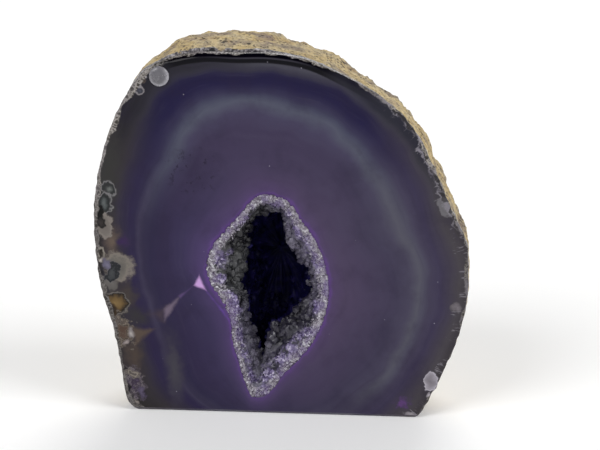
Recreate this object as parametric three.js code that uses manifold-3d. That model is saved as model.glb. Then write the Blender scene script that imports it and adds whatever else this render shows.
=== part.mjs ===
// A dyed agate geode half with a sawn base, which stands on a shelf with its polished face forward.
//
// Millimetres, +Z up. While the shapes are made, the polished face is the plane y = 0, x runs to the
// right as seen from the front, y runs back into the stone, and the sawn base is the plane z = 0. At the
// end the whole model is moved so that the origin is under the middle of its box.
//
// Pieces: the stone (rind and agate, one solid), the crust of quartz crystals that lines its hollow, and
// a clear stick-on bumper pad on the face.

import * as THREE from 'three';
import { mergeVertices } from 'three/addons/utils/BufferGeometryUtils.js';
import Module from 'manifold-3d';

// Driving dimensions of the stone
const stoneDepth = 66;
const widestDepth = 22;
const domeExponent = 2.4;
const faceCentre = new THREE.Vector2(-6, 55);
const backCentre = new THREE.Vector2(-3, 62);
const topBevel = 3.3;
const sideBevel = 0.6;
const bevelFrom = 62;
const bevelTo = 118;
const bevelFade = 7;
const bevelSteps = 3;
const rimChip = 0.35;
const rimChipLength = 9;
const rimStep = 0.3;
const baseChamfer = 1.2;

// Driving dimensions of the rough rind
const lumpHeight = 1;
const lumpLength = 22;
const knobHeight = 0.5;
const knobLength = 10;
const pitDepth = 1.4;
const pitLength = 15;
const pitThreshold = 1;
const rindStart = 2;
const rindFull = 9;

// How finely the stone is faceted, and how far round the rim its corners are averaged away
const rimCount = 96;
const rindDetail = 15;
const roundingReach = 9;

// How far the cutting solids reach past what they cut
const cutReach = 60;
const baseCutReach = 120;
const frontReach = 5;
const frontFullness = 1.2;

// The rim of the polished face, anticlockwise from the right end of the base. The stretch below z = 0 is
// the part of the nodule that the base cut took away.
const rimPoints = [
  [54.5, 0], [60.5, 9.5], [65.5, 21.5], [69.5, 33], [73, 47], [74, 60], [72, 74], [66.5, 89], [60, 105],
  [52.5, 120.5], [40.5, 132.5], [24.5, 141.5], [10.5, 147.5], [-4, 149.8], [-18, 149.7], [-32, 149.8],
  [-45.5, 147], [-54.5, 142], [-63.5, 129.5], [-69.5, 116], [-74, 100], [-76, 85], [-76, 69], [-74, 51.5],
  [-69.5, 35], [-67, 21], [-65.5, 8], [-62.5, 2.5], [-55, -1.5], [-30, -10], [0, -12], [30, -9],
];

// How far the nodule swells outside its rim at the widest depth, by direction from the face's centre
const swellByAngle = [
  [-180, -1.5], [-135, -2], [-90, -2], [-45, 1.2], [-20, 2.8], [0, 1.8], [12, 0.5], [30, -1.3],
  [48, -1.5], [60, -2.6], [69, -1.6], [77, -0.2], [84, 1], [92, 3.5], [100, 5], [108, 4.5], [118, 2],
  [140, -1], [180, -1.5],
];

// Driving dimensions of the hollow and of the crust that lines it
const hollowDepth = 45;
const hollowExponent = 2.1;
const hollowCentre = new THREE.Vector2(-6, 52);
const hollowBackCentre = new THREE.Vector2(-4, 60);
const hollowCount = 36;
const hollowSteps = 8;
const smallestFactor = 0.05;
const crustGap = 0.3;
const crustRecess = 0.25;
const crustThickness = 3.2;

// The hollow's outline at the polished face, anticlockwise from the right
const hollowPoints = [
  [19.3, 52], [18, 63.5], [15.5, 71], [11.5, 78.5], [7.5, 84], [4.5, 89], [0, 92.3], [-6, 93.7],
  [-11.5, 91.5], [-17, 85], [-23, 78.3], [-28.5, 71], [-30.9, 62.5], [-29.3, 55.5], [-24.5, 48],
  [-21.3, 40], [-20.5, 31], [-17.5, 20], [-14.5, 11.5], [-9.3, 7.6], [-4.5, 10], [1, 17.3], [9, 26.2],
  [15.5, 36.5],
];

// Driving dimensions of the crystals: rows around the hollow's wall, from the face to the back
const crystalRows = [
  { depth: 2.8, count: 28, radius: 2.8 },
  { depth: 7.5, count: 21, radius: 3.8 },
  { depth: 13.5, count: 17, radius: 4.5 },
  { depth: 20, count: 15, radius: 4.8 },
  { depth: 27, count: 12, radius: 5 },
  { depth: 34, count: 9, radius: 5 },
  { depth: 40, count: 5, radius: 5 },
];
const crystalSides = 6;
const crystalHeightShare = 1.2;
const crystalFoot = 0.7;
const crystalLean = 0.4;
const crystalPlaceSpread = 0.35;
const crystalDepthSpread = 1.5;
const crystalSmallest = 0.8;
const crystalSizeSpread = 0.4;
const crystalSeed = 20;

// Driving dimensions of the bumper pad
const padCentre = new THREE.Vector2(-48.2, 140.4);
const padRadius = 4;
const padHeight = 1.9;
const padEdge = 0.35;
const padSegments = 20;
const padArcSteps = 3;
const padGap = 0.05;

// The middle of the model's box, seen from above
const boxMiddle = new THREE.Vector2(-0.5, 32.8);

const stoneMaterial = new THREE.MeshStandardMaterial({ color: 0x3f3550, roughness: 0.35, metalness: 0 });
const crustMaterial = new THREE.MeshStandardMaterial({ color: 0x8f879b, roughness: 0.25, metalness: 0 });
const padMaterial = new THREE.MeshStandardMaterial({ color: 0xbcb9be, roughness: 0.15, metalness: 0 });

const wasm = await Module();
wasm.setup();

const { lerp } = THREE.MathUtils;

// Smooth step from 0 at low to 1 at high
function ease(value, low, high) {
  const t = THREE.MathUtils.clamp((value - low) / (high - low), 0, 1);
  return t * t * (3 - 2 * t);
}

// A value between the rows of a table of [angle, value], eased from row to row
function fromTable(table, angle) {
  const row = Math.max(table.findIndex(([a]) => a >= angle), 1);
  const [lowAngle, lowValue] = table[row - 1];
  const [highAngle, highValue] = table[row];
  return lerp(lowValue, highValue, ease(angle, lowAngle, highAngle));
}

// Evenly spaced points on a smooth closed outline through the given points
function closedOutline(points, count) {
  const corners = points.map(([x, z]) => new THREE.Vector3(x, z, 0));
  const curve = new THREE.CatmullRomCurve3(corners, true, 'centripetal');
  return curve.getSpacedPoints(count).slice(0, count).map((p) => new THREE.Vector2(p.x, p.y));
}

// Irregular waves in space: plane waves in many directions, of lengths around the given one. The
// directions are spread over a sphere by the golden angle.
const waveCount = 14;
const goldenAngle = Math.PI * (3 - Math.sqrt(5));
const goldenPart = 0.618034;
const shortestWave = 0.7;
const longestWave = 1.3;
function waves(p, length) {
  let sum = 0;
  for (let i = 0; i < waveCount; i++) {
    const up = 1 - (2 * i + 1) / waveCount;
    const flat = Math.sqrt(1 - up * up);
    const level = Math.cos(goldenAngle * i) * p.x + Math.sin(goldenAngle * i) * p.y;
    const ownLength = length * lerp(shortestWave, longestWave, (i * goldenPart) % 1);
    sum += Math.sin((2 * Math.PI * (flat * level + up * p.z)) / ownLength + goldenAngle * i * i);
  }
  return sum / Math.sqrt(waveCount / 2);
}

// How far the rough rind stands out at a point: broad lumps with ledges, knobs, and pits
function rindHeight(p) {
  const lump = waves(p, lumpLength);
  const ledge = lump + Math.sin(2 * Math.PI * lump) / (2 * Math.PI);
  const pit = Math.max(0, waves(p, pitLength) - pitThreshold);
  return lumpHeight * ledge + knobHeight * waves(p, knobLength) - pitDepth * pit;
}

function solidFrom(positions, triangles) {
  const mesh = new wasm.Mesh({
    numProp: 3,
    vertProperties: new Float32Array(positions),
    triVerts: new Uint32Array(triangles),
  });
  return new wasm.Manifold(mesh);
}

// One of three's geometries with its shared corners merged. The merge rounds places to a grid, so a
// second merge, half a step aside, catches the corners that the first one rounded apart.
const mergeStep = 1e-4;
function mergedGeometry(geometry) {
  const bare = geometry.clone();
  bare.deleteAttribute('normal');
  bare.deleteAttribute('uv');
  const aside = mergeStep / 2;
  const once = mergeVertices(bare, mergeStep).translate(aside, aside, aside);
  return mergeVertices(once, mergeStep).translate(-aside, -aside, -aside);
}

// A solid from one of three's closed geometries. Flat triangles, which a lathe leaves where its profile
// meets the axis, are left out.
function solidFromGeometry(geometry) {
  const { attributes, index } = mergedGeometry(geometry);
  const kept = [];
  for (let i = 0; i < index.count; i += 3) {
    const [a, b, c] = [index.array[i], index.array[i + 1], index.array[i + 2]];
    if (a !== b && b !== c && c !== a) {
      kept.push(a, b, c);
    }
  }
  return solidFrom(attributes.position.array, kept);
}

// A closed solid over rings of points that run from the front to the back. Each ring is anticlockwise as
// seen from the front, and the ends close on one point.
function ringSolid(frontPoint, rings, backPoint) {
  const count = rings[0].length;
  const points = [frontPoint, ...rings.flat(), backPoint];
  const faces = [];
  const at = (ring, i) => 1 + ring * count + (i % count);
  const last = points.length - 1;
  for (let i = 0; i < count; i++) {
    faces.push(0, at(0, i), at(0, i + 1));
    for (let ring = 0; ring + 1 < rings.length; ring++) {
      faces.push(at(ring, i), at(ring + 1, i), at(ring + 1, i + 1));
      faces.push(at(ring, i), at(ring + 1, i + 1), at(ring, i + 1));
    }
    faces.push(last, at(rings.length - 1, i + 1), at(rings.length - 1, i));
  }
  return solidFrom(points.flatMap((p) => p.toArray()), faces);
}

function meshOf(solid, name, material) {
  const result = solid.getMesh();
  const geometry = new THREE.BufferGeometry();
  geometry.setAttribute('position', new THREE.BufferAttribute(result.vertProperties, 3));
  geometry.setIndex(new THREE.BufferAttribute(result.triVerts, 1));
  geometry.computeVertexNormals();
  const mesh = new THREE.Mesh(geometry, material);
  mesh.name = name;
  return mesh;
}

// The rim as rays from the face's centre, by rising angle. Each has its length, its swell, and the mean
// swollen length around it, which is the outline without its corners.
function rimRays() {
  const rays = closedOutline(rimPoints, rimCount).map((p) => {
    const arm = p.clone().sub(faceCentre);
    const angle = THREE.MathUtils.radToDeg(Math.atan2(arm.y, arm.x));
    return { angle, radius: arm.length(), swell: fromTable(swellByAngle, angle) };
  });
  rays.sort((a, b) => a.angle - b.angle);
  rays.forEach((ray, i) => {
    let sum = 0;
    for (let step = -roundingReach; step <= roundingReach; step++) {
      const near = rays[(i + step + rimCount) % rimCount];
      sum += near.radius + near.swell;
    }
    ray.roundRadius = sum / (2 * roundingReach + 1);
  });
  return rays;
}

// The ray in any direction, from the rays on both sides of it
function rayToward(rays, angle) {
  const after = Math.max(rays.findIndex((ray) => ray.angle > angle), 0);
  const high = rays[after];
  const low = rays[(after + rays.length - 1) % rays.length];
  const t = ((angle - low.angle + 360) % 360) / ((high.angle - low.angle + 360) % 360);
  return {
    radius: lerp(low.radius, high.radius, t),
    swell: lerp(low.swell, high.swell, t),
    roundRadius: lerp(low.roundRadius, high.roundRadius, t),
  };
}

// Where a point of the unit sphere lies on the rough nodule. The sphere's back half makes the dome behind
// the widest depth. Its front half makes the side wall, and runs on in front of the face, to be cut off.
function nodulePoint(unit, rays) {
  const across = Math.min(Math.hypot(unit.x, unit.z), 1);
  const turn = Math.atan2(unit.z, unit.x);
  const ray = rayToward(rays, THREE.MathUtils.radToDeg(turn));
  const inDome = unit.y > 0;
  const dome = (1 - across ** domeExponent) ** (1 / domeExponent);
  const depth = inDome ? lerp(widestDepth, stoneDepth, dome) : widestDepth + unit.y * stoneDepth;
  const factor = inDome ? across : Math.min(1, across * frontFullness);
  const share = Math.sin((THREE.MathUtils.clamp(depth / widestDepth, 0, 1) * Math.PI) / 2);
  const back = ease(depth, widestDepth, stoneDepth);
  const centre = faceCentre.clone().lerp(backCentre, back);
  const length = lerp(ray.radius + share * ray.swell + rimStep, ray.roundRadius, back) * factor;
  const direction = new THREE.Vector3(Math.cos(turn), 0, Math.sin(turn));
  const p = new THREE.Vector3(centre.x, depth, centre.y).addScaledVector(direction, length);
  const out = direction.multiplyScalar(factor).setY(inDome ? 1 - factor : 0).normalize();
  return p.addScaledVector(out, ease(depth, rindStart, rindFull) * rindHeight(p));
}

// The nodule before any cut
function nodule(rays) {
  const sphere = mergedGeometry(new THREE.IcosahedronGeometry(1, rindDetail));
  const { position } = sphere.attributes;
  const positions = [];
  for (let i = 0; i < position.count; i++) {
    const unit = new THREE.Vector3().fromBufferAttribute(position, i);
    positions.push(...nodulePoint(unit, rays).toArray());
  }
  return solidFrom(positions, sphere.index.array);
}

// How wide the edge between face and rind is, by direction: a rounded polished edge along the top, and a
// thin worn edge elsewhere
function bevelAt(angle) {
  const inTop = ease(angle, bevelFrom - bevelFade, bevelFrom + bevelFade)
    * (1 - ease(angle, bevelTo - bevelFade, bevelTo));
  return lerp(sideBevel, topBevel, inTop);
}

// What the face's cut leaves: all that lies behind the flat face and its rounded, slightly chipped edge
function behindFace(rays) {
  const ring = (depthOf, lengthOf) => rays.map(({ angle, radius }) => {
    const turn = THREE.MathUtils.degToRad(angle);
    const direction = new THREE.Vector3(Math.cos(turn), 0, Math.sin(turn));
    const chip = rimChip * waves(direction.clone().multiplyScalar(radius), rimChipLength);
    const centre = new THREE.Vector3(faceCentre.x, depthOf(angle), faceCentre.y);
    return centre.addScaledVector(direction, lengthOf(angle, radius + chip));
  });
  const rings = [];
  for (let i = 0; i <= bevelSteps; i++) {
    const turn = (i / bevelSteps) * (Math.PI / 2);
    rings.push(ring(
      (angle) => bevelAt(angle) * (1 - Math.cos(turn)),
      (angle, radius) => radius - bevelAt(angle) * (1 - Math.sin(turn)),
    ));
  }
  rings.push(ring((angle) => bevelAt(angle) + rimStep, (angle, radius) => radius + cutReach));
  rings.push(ring(() => stoneDepth + cutReach, (angle, radius) => radius + cutReach));
  const front = new THREE.Vector3(faceCentre.x, 0, faceCentre.y);
  const back = new THREE.Vector3(faceCentre.x, stoneDepth + cutReach, faceCentre.y);
  return ringSolid(front, rings, back);
}

// What the saw took off below the base, with the small chamfer along the front edge
function baseCut() {
  const profile = new THREE.Shape([
    new THREE.Vector2(-baseCutReach, -baseCutReach),
    new THREE.Vector2(baseCutReach, -baseCutReach),
    new THREE.Vector2(baseCutReach, 0),
    new THREE.Vector2(baseChamfer, 0),
    new THREE.Vector2(0, baseChamfer),
    new THREE.Vector2(-baseCutReach, baseChamfer),
  ]);
  const geometry = new THREE.ExtrudeGeometry(profile, { depth: 2 * baseCutReach, bevelEnabled: false });
  geometry.applyMatrix4(new THREE.Matrix4().makeBasis(
    new THREE.Vector3(0, 1, 0), new THREE.Vector3(0, 0, 1), new THREE.Vector3(1, 0, 0),
  ));
  geometry.translate(-baseCutReach, 0, 0);
  return solidFromGeometry(geometry);
}

// A point of the hollow's wall: which part of the outline, how deep, and how far inside the wall
function hollowPoint(outlinePoint, depth, inset) {
  const part = THREE.MathUtils.clamp(depth / hollowDepth, 0, 1);
  const factor = (1 - part ** hollowExponent) ** (1 / hollowExponent);
  const centre = hollowCentre.clone().lerp(hollowBackCentre, part);
  const arm = outlinePoint.clone().sub(hollowCentre);
  const share = Math.max(factor - inset / arm.length(), smallestFactor);
  arm.multiplyScalar(share).add(centre);
  return new THREE.Vector3(arm.x, part * (hollowDepth - inset), arm.y);
}

// The hollow as a solid inside its wall by an inset, from the given front depth
function hollowSolid(outline, frontDepth, inset) {
  const rings = [outline.map((p) => hollowPoint(p, 0, inset).setY(frontDepth))];
  if (frontDepth < 0) {
    rings.push(outline.map((p) => hollowPoint(p, 0, inset)));
  }
  for (let i = 1; i <= hollowSteps; i++) {
    const depth = hollowDepth * Math.sin((i / (hollowSteps + 0.6)) * (Math.PI / 2));
    rings.push(outline.map((p) => hollowPoint(p, depth, inset)));
  }
  const front = new THREE.Vector3(hollowCentre.x, frontDepth, hollowCentre.y);
  const back = new THREE.Vector3(hollowBackCentre.x, hollowDepth - inset, hollowBackCentre.y);
  return ringSolid(front, rings, back);
}

// Repeatable numbers from 0 to 1
function makeRandom(seed) {
  let state = seed;
  return () => {
    state = (state * 16807) % 2147483647;
    return state / 2147483647;
  };
}

// One six-sided crystal point, which stands on its foot along an axis
function crystal(size, turn, axis, foot) {
  const tip = new THREE.Vector2(0, size * crystalHeightShare);
  const profile = [new THREE.Vector2(0, 0), new THREE.Vector2(size, 0), tip];
  const geometry = new THREE.LatheGeometry(profile, crystalSides);
  geometry.rotateY(turn);
  geometry.applyQuaternion(new THREE.Quaternion().setFromUnitVectors(new THREE.Vector3(0, 1, 0), axis));
  geometry.translate(foot.x, foot.y, foot.z);
  return solidFromGeometry(geometry);
}

// Crystals in rows around the hollow's wall, each leaning a little from the wall's inward direction
function crystals(outline) {
  const random = makeRandom(crystalSeed);
  const spread = () => (random() - 0.5) * 2;
  const inset = crustThickness - crystalFoot;
  const solids = [];
  for (const { depth, count, radius } of crystalRows) {
    for (let i = 0; i < count; i++) {
      const turn = (i + crystalPlaceSpread * spread()) / count;
      const place = (turn * outline.length + outline.length) % outline.length;
      const before = outline[Math.floor(place)];
      const after = outline[(Math.floor(place) + 1) % outline.length];
      const onOutline = before.clone().lerp(after, place % 1);
      const ownDepth = Math.max(depth + crystalDepthSpread * spread(), crustRecess + 1);
      const foot = hollowPoint(onOutline, ownDepth, inset);
      const along = hollowPoint(after, ownDepth, inset).sub(hollowPoint(before, ownDepth, inset));
      const deeper = hollowPoint(onOutline, ownDepth + 1, inset).sub(foot);
      const lean = new THREE.Vector3(spread(), spread(), spread()).multiplyScalar(crystalLean);
      const axis = along.cross(deeper).normalize().add(lean).normalize();
      const size = radius * (crystalSmallest + crystalSizeSpread * random());
      solids.push(crystal(size, random() * Math.PI, axis, foot));
    }
  }
  return solids;
}

// The stone: the nodule behind the face's cut, less the base cut and the hollow
function stone() {
  const rays = rimRays();
  const hollow = hollowSolid(closedOutline(hollowPoints, hollowCount), -frontReach, 0);
  const solid = nodule(rays).intersect(behindFace(rays)).subtract(baseCut()).subtract(hollow);
  return meshOf(solid, 'stone', stoneMaterial);
}

// A solid's outer surface alone, so that the small gaps which crystals close off between them are filled
function filled(solid) {
  return solid.decompose().sort((a, b) => b.volume() - a.volume())[0];
}

// The crust: a shell that lines the hollow, joined with its crystals, kept clear of the stone
function crystalCrust() {
  const outline = closedOutline(hollowPoints, hollowCount);
  const room = hollowSolid(outline, crustRecess, crustGap);
  let crust = room.subtract(hollowSolid(outline, -frontReach, crustThickness));
  for (const point of crystals(outline)) {
    crust = crust.add(point);
  }
  return meshOf(filled(crust.intersect(room)), 'crystal_crust', crustMaterial);
}

// The pad: a low clear dome that sticks to the face by its flat back
function bumperPad() {
  const profile = [new THREE.Vector2(0, 0), new THREE.Vector2(padRadius, 0)];
  for (let i = 0; i < padArcSteps; i++) {
    const turn = (i / padArcSteps) * (Math.PI / 2);
    const height = padEdge + (padHeight - padEdge) * Math.sin(turn);
    profile.push(new THREE.Vector2(padRadius * Math.cos(turn), height));
  }
  profile.push(new THREE.Vector2(0, padHeight));
  const geometry = new THREE.LatheGeometry(profile, padSegments);
  geometry.rotateX(Math.PI);
  const mesh = meshOf(solidFromGeometry(geometry), 'bumper_pad', padMaterial);
  mesh.position.set(padCentre.x, -padGap, padCentre.y);
  return mesh;
}

const geodeHalf = new THREE.Group();
geodeHalf.add(stone(), crystalCrust(), bumperPad());
geodeHalf.position.set(-boxMiddle.x, -boxMiddle.y, 0);
geodeHalf.updateMatrixWorld(true);

export default geodeHalf;
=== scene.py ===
import math

import bmesh
import bpy
import numpy as np
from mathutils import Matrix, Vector


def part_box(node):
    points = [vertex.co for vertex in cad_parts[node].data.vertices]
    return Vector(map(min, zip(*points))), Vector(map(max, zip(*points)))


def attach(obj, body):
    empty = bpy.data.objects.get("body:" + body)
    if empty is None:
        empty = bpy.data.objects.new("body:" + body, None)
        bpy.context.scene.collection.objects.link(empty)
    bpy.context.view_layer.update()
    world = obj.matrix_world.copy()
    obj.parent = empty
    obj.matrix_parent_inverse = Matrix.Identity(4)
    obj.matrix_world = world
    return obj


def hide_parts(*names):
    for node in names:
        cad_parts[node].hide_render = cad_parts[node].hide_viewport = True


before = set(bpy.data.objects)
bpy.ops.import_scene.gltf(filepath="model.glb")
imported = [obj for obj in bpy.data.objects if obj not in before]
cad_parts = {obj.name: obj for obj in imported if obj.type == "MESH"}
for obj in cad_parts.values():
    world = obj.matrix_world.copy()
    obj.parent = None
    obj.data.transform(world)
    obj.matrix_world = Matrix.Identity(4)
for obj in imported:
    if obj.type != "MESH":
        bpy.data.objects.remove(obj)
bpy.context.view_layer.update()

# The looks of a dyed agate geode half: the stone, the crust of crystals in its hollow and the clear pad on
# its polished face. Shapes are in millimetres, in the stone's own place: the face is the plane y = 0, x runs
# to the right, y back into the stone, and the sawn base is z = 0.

METRE = 1000.0
FACE_CENTRE = np.array([-6.0, 55.0])
FACE_MIDDLE = np.array([FACE_CENTRE[0], 0.0, FACE_CENTRE[1]])
BACK_CENTRE = np.array([-3.0, 62.0])
STONE_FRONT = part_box("stone")[0][1] * METRE
STONE_DEPTH = 66.0
BOX_MIDDLE_X = -0.5
SHIFT = np.array([-BOX_MIDDLE_X, STONE_FRONT, 0.0])

# The stone
WIDEST_DEPTH = 22.0
DOME_EXPONENT = 2.4
TOP_BEVEL = 3.3
SIDE_BEVEL = 0.6
BEVEL_FROM, BEVEL_TO, BEVEL_FADE = 62.0, 118.0, 7.0
BASE_CHAMFER = 1.2
DIRECTIONS = 512
HOLLOW_RINGS, FACE_RINGS, BEVEL_RINGS, WALL_RINGS, DOME_RINGS = 14, 56, 6, 34, 66
HOLLOW_FIRST_STEP, DOME_LAST_STEP = 0.6, 0.4
ROUNDING_REACH = 46

# The rough rind: heights and wavelengths of its lumps, knobs, grains and pits
LUMP_HEIGHT, LUMP_LENGTH = 0.6, 22.0
KNOB_HEIGHT, KNOB_LENGTH = 0.4, 10.0
GRAIN_HEIGHT, GRAIN_LENGTH, GRAIN_MEAN = 0.3, 4.5, 0.8
FINE_HEIGHT, FINE_LENGTH = 0.16, 2.3
PIT_DEPTH, PIT_LENGTH, PIT_THRESHOLD = 1.4, 15.0, 1.0
POCK_DEPTH, POCK_LENGTH, POCK_THRESHOLD = 0.9, 5.5, 1.1
CALM_FRONT, CALM_UNTIL, ROUGH_FROM = 0.28, 16.0, 44.0

# How deep behind the face's edge the roughness starts and is full, and the part that comes at once
RIND_START, RIND_FULL = 0.2, 9.0
QUICK_PART, QUICK_FULL = 0.25, 1.2
RIM_CHIP, CHIP_LENGTH = 0.15, 5.0

# The rim of the polished face, anticlockwise from the right end of the base
RIM = [
    (54.5, 0), (61, 9.5), (66.3, 21.5), (70.7, 33), (74.2, 47), (74.9, 60), (73.9, 74), (67.6, 89),
    (60.5, 105), (52.5, 120.5), (40.5, 132.5), (24.5, 141.5), (10.5, 147.5), (-4, 149.8), (-18, 149.7),
    (-32, 149.8), (-45.5, 147), (-54.5, 142), (-63.5, 129.5), (-69.5, 116), (-74, 100), (-76, 85),
    (-76, 69), (-74, 51.5), (-69.5, 35), (-67, 21), (-65.5, 8), (-63.8, 2.8), (-57, -1.5), (-30, -10),
    (0, -12), (30, -9),
]

# How far the nodule swells outside its rim at the widest depth, by direction in degrees
SWELL = [
    (-180, -1.5), (-135, -2), (-90, -2), (-45, 0.6), (-20, 1.4), (0, 0.9), (12, 0.2), (17, -1.9),
    (22, -0.6), (28, -0.8), (34, -1.7), (42, 0.2), (48, -0.6), (60, -2.2), (69, -1.7), (78, 0),
    (84, 0.9), (92, 3.6), (100, 5), (108, 4.4), (118, 1.6), (140, -1), (180, -1.5),
]

# The outline of the hollow at the face, and the middle line of the pale blue band round it
HOLLOW = [
    (19.3, 52), (18, 63.5), (15.5, 71), (11.5, 78.5), (7.5, 84), (4.5, 89), (0, 92.3), (-6, 93.7),
    (-11.5, 91.5), (-17, 85), (-23, 78.3), (-28.5, 71), (-30.9, 62.5), (-29.3, 55.5), (-24.5, 48),
    (-21.3, 40), (-20.5, 31), (-17.5, 20), (-14.6, 11), (-12.4, 6.9), (-7.8, 7.2), (-3.8, 10.4),
    (1, 17.3), (9, 26.2), (15.5, 36.5),
]
BAND = [
    (55.2, 64.2), (46.9, 84.4), (36.3, 104.5), (19, 121.4), (-5.6, 130.6), (-32.8, 127), (-47.5, 102.6),
    (-56.5, 79.7), (-54, 52), (-46, 26), (-34, 6), (-8, -4), (20, -3), (32.1, 5), (45.4, 21.5), (53.2, 41.9),
]

# The outline of the dark opening where the crust's slope ends
OPENING = [
    (11, 57.5), (7.5, 63), (2.8, 67.6), (0.5, 74.5), (-1, 83), (-8.3, 83.8), (-14.2, 76.8), (-14.6, 72),
    (-15, 67), (-15.4, 62), (-17.6, 54.3), (-15, 45), (-14, 36.5), (-11, 28.8), (-9, 21.5), (-7.6, 28),
    (-6.6, 33.5), (-1.3, 37.4), (4.6, 40.3), (8, 46.5), (10.6, 51),
]

# The hollow and its crust
HOLLOW_DEPTH = 45.0
HOLLOW_EXPONENT = 2.1
HOLLOW_CENTRE = np.array([-6.0, 52.0])
HOLLOW_BACK = np.array([-4.0, 60.0])
HOLLOW_LEAST = 0.02
HOLLOW_CHIP, HOLLOW_CHIP_LENGTH, CHIP_REACH = 0.35, 2.0, 0.25
CRUST_GAP = 0.05
CRUST_RECESS = 0.2
CRUST_THICKNESS = 3.2
SLOPE_START, SLOPE_DEPTH, SLOPE_EXPONENT = 0.9, 11.0, 1.2
SLOPE_LUMP, SLOPE_LUMP_LENGTH = 0.8, 7.0
SLOPE_KNOB, SLOPE_KNOB_LENGTH = 0.35, 2.8
SLOPE_PUSH, PUSH_FULL = 0.7, 0.3
THROAT = 0.35
LINING_TURNS, LINING_OUTER, LINING_SLOPE, LINING_DEEP = 320, 16, 26, 16
LINING_REACH, DEEP_EXPONENT = 0.97, 1.5

# How far inward parts of the crust count as lying: 0 to 1 on the slope, 1 to 2 in the dark
OUTER_INWARD, GRAIN_INWARD, BACK_INWARD = -0.3, -0.1, 2.0

# The crust's crystals: how many, and between which numbers their measures are drawn
CRYSTAL_SEED = 20
CRYSTAL_SIDES = 6
RIM_GRAINS, SLOPE_CRYSTALS, DEEP_CRYSTALS = 3800, 520, 500
SLOPE_STEPS, DEEP_STEPS = (0.02, 1.0), (1.02, 1.85)
CRYSTAL_UNEVEN = (0.8, 1.15)
CRYSTAL_SHOULDER, TIP_SHIFT = 0.55, 0.3
STEEP = 0.8
GRAIN_FOOT, GRAIN_PAST, GRAIN_DROP, TILT_FROM = 0.9, 1.2, 0.8, 1.5
GRAIN_SPREAD, GRAIN_FORWARD = 0.35, 0.8
GRAIN_RADII, GRAIN_LENGTHS = (0.24, 0.52), (0.8, 1.5)
WALL_SPREAD, WALL_FOOT = 0.28, 0.4
WALL_RADIUS_FRONT, WALL_RADIUS_BACK, WALL_RADIUS_FULL = 0.5, 1.35, 0.8
WALL_RADII, WALL_LEAST_LENGTH, WALL_LENGTHS = (0.6, 1.5), 0.4, (0.4, 0.9)
NORMAL_STEP = 0.01
LOOKING_POINT = np.array([FACE_CENTRE[0], -5.0, FACE_CENTRE[1]])

# The bumper pad
PAD_CENTRE = np.array([-48.2, 140.4])
PAD_RADIUS = 4.0
PAD_HEIGHT = 1.9
PAD_EDGE = 0.35
PAD_GAP = 0.05
PAD_FOOT = [(PAD_RADIUS - 0.15, 0.0), (PAD_RADIUS, 0.12)]
PAD_SEGMENTS, PAD_STEPS = 64, 12

# The camera, as seen from the middle of the picture, and the floor
CAMERA_TARGET = np.array([7.4, 0.0, 81.0])
CAMERA_AZIMUTH = 4.6
CAMERA_ELEVATION = 15.0
CAMERA_DISTANCE = 650.0
CAMERA_LENS = 97.5
SENSOR_WIDTH = 36.0
FLOOR_SIZE, FLOOR_BACK = 12, 2.0

# The sky by height, with its brightness, and its strength
SKY_LOW, SKY_HIGH = (0.35, 1.0), (0.8, 0.02)
SKY_STRENGTH = 0.9

# The lamps, broad and far away: the direction that each stands in, its strength, and how broad it is
LAMPS = {
    "left_lamp": ((-0.75, -0.8, 0.9), 1.3, 35.0),
    "right_lamp": ((0.95, -0.35, 0.8), 1.3, 35.0),
    "back_lamp": ((0.15, 0.9, 0.95), 1.2, 35.0),
}


def to_frame(points):
    """Millimetres in the stone's own place to metres in the frame."""
    return (np.asarray(points, dtype=float) + SHIFT) / METRE


def ease(value, low, high):
    """Smooth step from 0 at low to 1 at high."""
    t = np.clip((value - low) / (high - low), 0.0, 1.0)
    return t * t * (3.0 - 2.0 * t)


def lerp(a, b, t):
    return a + (b - a) * t


def unit(vectors):
    return vectors / np.linalg.norm(vectors, axis=-1)[..., None]


def turns_of(angles):
    """Directions in the plane of the face."""
    return np.stack([np.cos(angles), np.zeros_like(angles), np.sin(angles)], axis=-1)


OUTLINE_POINTS = 2048


def closed_outline(points):
    """Points along a smooth closed curve through the given points, by the centripetal rule."""
    corners = np.array(points, dtype=float)
    pieces = []
    for i in range(len(corners)):
        level = [corners[(i + k) % len(corners)] for k in (-1, 0, 1, 2)]
        knots = [0.0]
        for a, b in zip(level, level[1:]):
            knots.append(knots[-1] + math.sqrt(np.linalg.norm(b - a)))
        t = np.linspace(knots[1], knots[2], OUTLINE_POINTS // len(corners), endpoint=False)[:, None]
        for start, reach in ((0, 1), (0, 2), (1, 1)):
            ends = zip(level, level[1:], knots[start:], knots[start + reach:])
            level = [lerp(a, b, (t - low) / (high - low)) for a, b, low, high in ends]
        pieces.append(level[0])
    return np.vstack(pieces)


def lengths_toward(outline, centre, angles):
    """How far an outline lies from a centre in each direction."""
    arms = outline - centre
    own = np.arctan2(arms[:, 1], arms[:, 0])
    order = np.argsort(own)
    return np.interp(angles, own[order], np.hypot(*arms.T)[order], period=2 * math.pi)


GOLDEN_ANGLE = math.pi * (3 - math.sqrt(5))
GOLDEN_PART = 0.618034
WAVE_COUNT = 14
SHORTEST_WAVE, LONGEST_WAVE = 0.7, 1.3


def waves(points, length):
    """Irregular waves in space, of lengths around the given one."""
    total = np.zeros(points.shape[:-1])
    for i in range(WAVE_COUNT):
        up = 1 - (2 * i + 1) / WAVE_COUNT
        flat = math.sqrt(1 - up * up)
        turn = GOLDEN_ANGLE * i
        direction = np.array([flat * math.cos(turn), flat * math.sin(turn), up])
        own_length = length * lerp(SHORTEST_WAVE, LONGEST_WAVE, (i * GOLDEN_PART) % 1)
        total += np.sin(2 * math.pi * (points @ direction) / own_length + GOLDEN_ANGLE * i * i)
    return total / math.sqrt(WAVE_COUNT / 2)


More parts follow.
